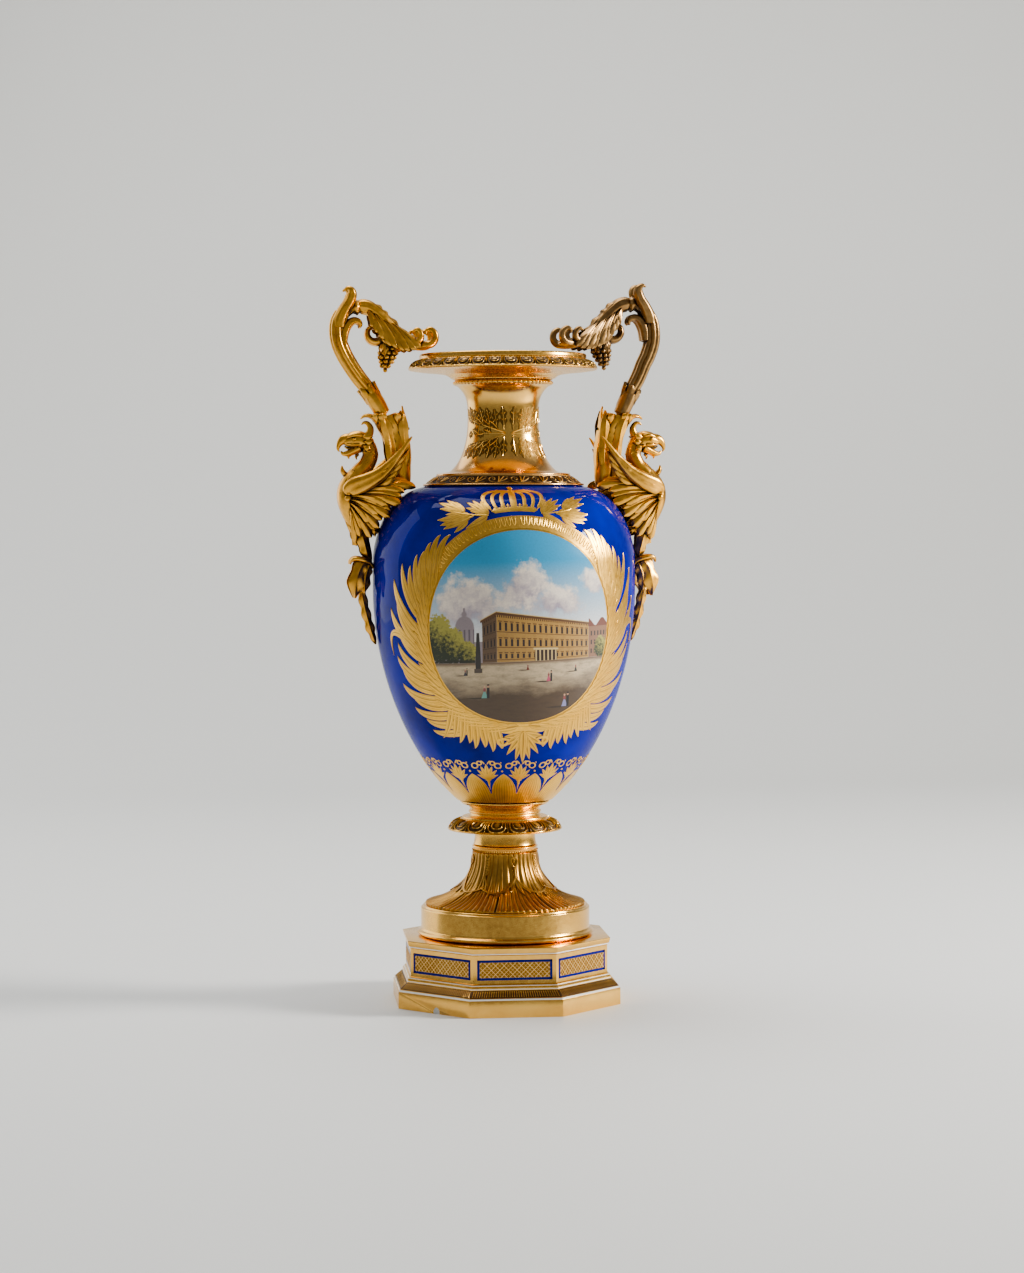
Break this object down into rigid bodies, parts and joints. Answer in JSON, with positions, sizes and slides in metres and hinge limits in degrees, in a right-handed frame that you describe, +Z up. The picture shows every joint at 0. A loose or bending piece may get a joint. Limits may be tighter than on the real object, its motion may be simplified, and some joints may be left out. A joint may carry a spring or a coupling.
{
  "type": "two-handled vase",
  "caption": "Tall ornamental porcelain vase on an octagonal plinth, with a painted medallion and gilt griffin and scroll handles.",
  "frame": {"origin": "centre of the plinth's underside", "axes": "+Z up along the vase's axis; the painted medallion faces -Y; the handles stand at -X and +X"},
  "size_m": [0.3942, 0.302, 0.8246],
  "materials": {
    "gilt_porcelain": "gloss",
    "cobalt_glaze": "gloss",
    "gilt_bronze": "satin",
    "dark_iron": "satin"
  },
  "bodies": {
    "root": {"plinth": "gilt_porcelain", "foot": "gilt_porcelain", "knop": "gilt_porcelain", "body": "cobalt_glaze", "neck": "gilt_porcelain", "mouth": "gilt_porcelain", "handle_left_griffin": "gilt_bronze", "handle_left_scroll": "gilt_bronze", "handle_left_screw": "dark_iron", "handle_right_griffin": "gilt_bronze", "handle_right_scroll": "gilt_bronze", "handle_right_screw": "dark_iron"}
  },
  "joints": []
}
